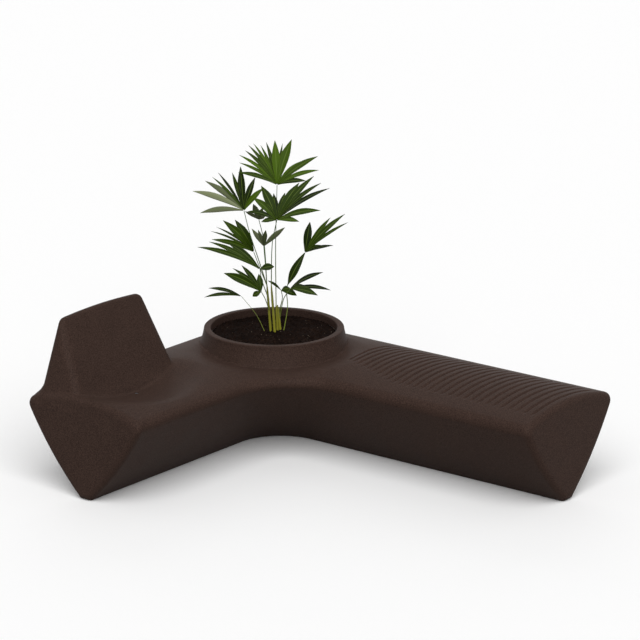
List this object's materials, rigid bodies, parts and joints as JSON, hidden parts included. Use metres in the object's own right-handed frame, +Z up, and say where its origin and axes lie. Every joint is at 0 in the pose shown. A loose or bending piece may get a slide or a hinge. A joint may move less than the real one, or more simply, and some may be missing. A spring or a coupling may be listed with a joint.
{
  "type": "corner bench with planter",
  "caption": "L-shaped hollow plastic park bench with a round corner planter, a moulded backrest on the short arm and a grooved seat on the long arm.",
  "frame": {"origin": "on the ground, on the vertical axis of the round planter", "axes": "+X along the long grooved arm, -Y along the short arm with the backrest, +Z up"},
  "size_m": [1.8799, 1.5431, 1.2948],
  "materials": {
    "shell": "rotomoulded polyethylene, fine orange peel",
    "fitting": "moulded nylon, satin",
    "seal": "EPDM, matt",
    "insert": "turned brass, plain",
    "pipe": "grey PVC pipe",
    "liner": "thermoformed polyethylene, black",
    "pebbles": "washed gravel",
    "fleece": "needled polyester fleece",
    "soil": "moist potting compost",
    "stem": "living cane and leaf stalks",
    "leaf": "living leaf blades"
  },
  "bodies": {
    "bench": {"bench_shell": "shell", "fill_neck": "fitting", "drain_bushes": "fitting", "anchor_inserts": "insert", "well_drain_pipe": "pipe", "well_drain_gasket": "seal", "well_drain_grommet": "seal", "seat_drain_tube": "pipe", "seat_drain_rings": "seal", "liner_seat_strip": "seal"},
    "planting": {"planter_liner": "liner", "liner_strainer": "fitting", "drainage_pebbles": "pebbles", "filter_fleece": "fleece", "potting_soil": "soil", "palm_stems": "stem", "palm_frond_1": "leaf", "palm_frond_2": "leaf", "palm_frond_3": "leaf", "palm_frond_4": "leaf", "palm_frond_5": "leaf", "palm_frond_6": "leaf", "palm_frond_7": "leaf", "palm_frond_8": "leaf", "palm_frond_9": "leaf", "palm_frond_10": "leaf", "palm_frond_11": "leaf", "palm_frond_12": "leaf"},
    "fill_seal": {"fill_cap_seal": "seal"},
    "fill_screw_cap": {"fill_cap": "fitting"},
    "drain_seal_a": {"drain_seal_ribbed": "seal"},
    "drain_plug_a": {"drain_plug_ribbed": "fitting"},
    "drain_seal_b": {"drain_seal_chair": "seal"},
    "drain_plug_b": {"drain_plug_chair": "fitting"}
  },
  "joints": [
    {"name": "liner_lift", "type": "slide", "parent": "bench", "child": "planting", "axis": [0, 0, 1], "range_m": [0, 0.4]},
    {"name": "fill_cap_rise", "type": "slide", "parent": "bench", "child": "fill_seal", "axis": [-0.9824, 0, 0.1866], "range_m": [0, 0.024]},
    {"name": "fill_cap_turn", "type": "hinge", "parent": "fill_seal", "child": "fill_screw_cap", "pos_m": [-0.30631, -0.825, 0.56], "axis": [-0.9824, 0, 0.1866], "range_deg": [0, 2160]},
    {"name": "drain_ribbed_rise", "type": "slide", "parent": "bench", "child": "drain_seal_a", "axis": [0, 1, 0], "range_m": [0, 0.024]},
    {"name": "drain_ribbed_turn", "type": "hinge", "parent": "drain_seal_a", "child": "drain_plug_a", "pos_m": [1.39, 0.112, 0.048], "axis": [0, 1, 0], "range_deg": [0, 2160]},
    {"name": "drain_chair_rise", "type": "slide", "parent": "bench", "child": "drain_seal_b", "axis": [-1, 0, 0], "range_m": [0, 0.024]},
    {"name": "drain_chair_turn", "type": "hinge", "parent": "drain_seal_b", "child": "drain_plug_b", "pos_m": [-0.112, -1.05, 0.048], "axis": [-1, 0, 0], "range_deg": [0, 2160]}
  ],
  "couplings": [
    {"joint": "fill_cap_turn", "follows": "fill_cap_rise", "rad_per_m": 1570.8},
    {"joint": "drain_ribbed_turn", "follows": "drain_ribbed_rise", "rad_per_m": 1570.8},
    {"joint": "drain_chair_turn", "follows": "drain_chair_rise", "rad_per_m": 1570.8}
  ]
}
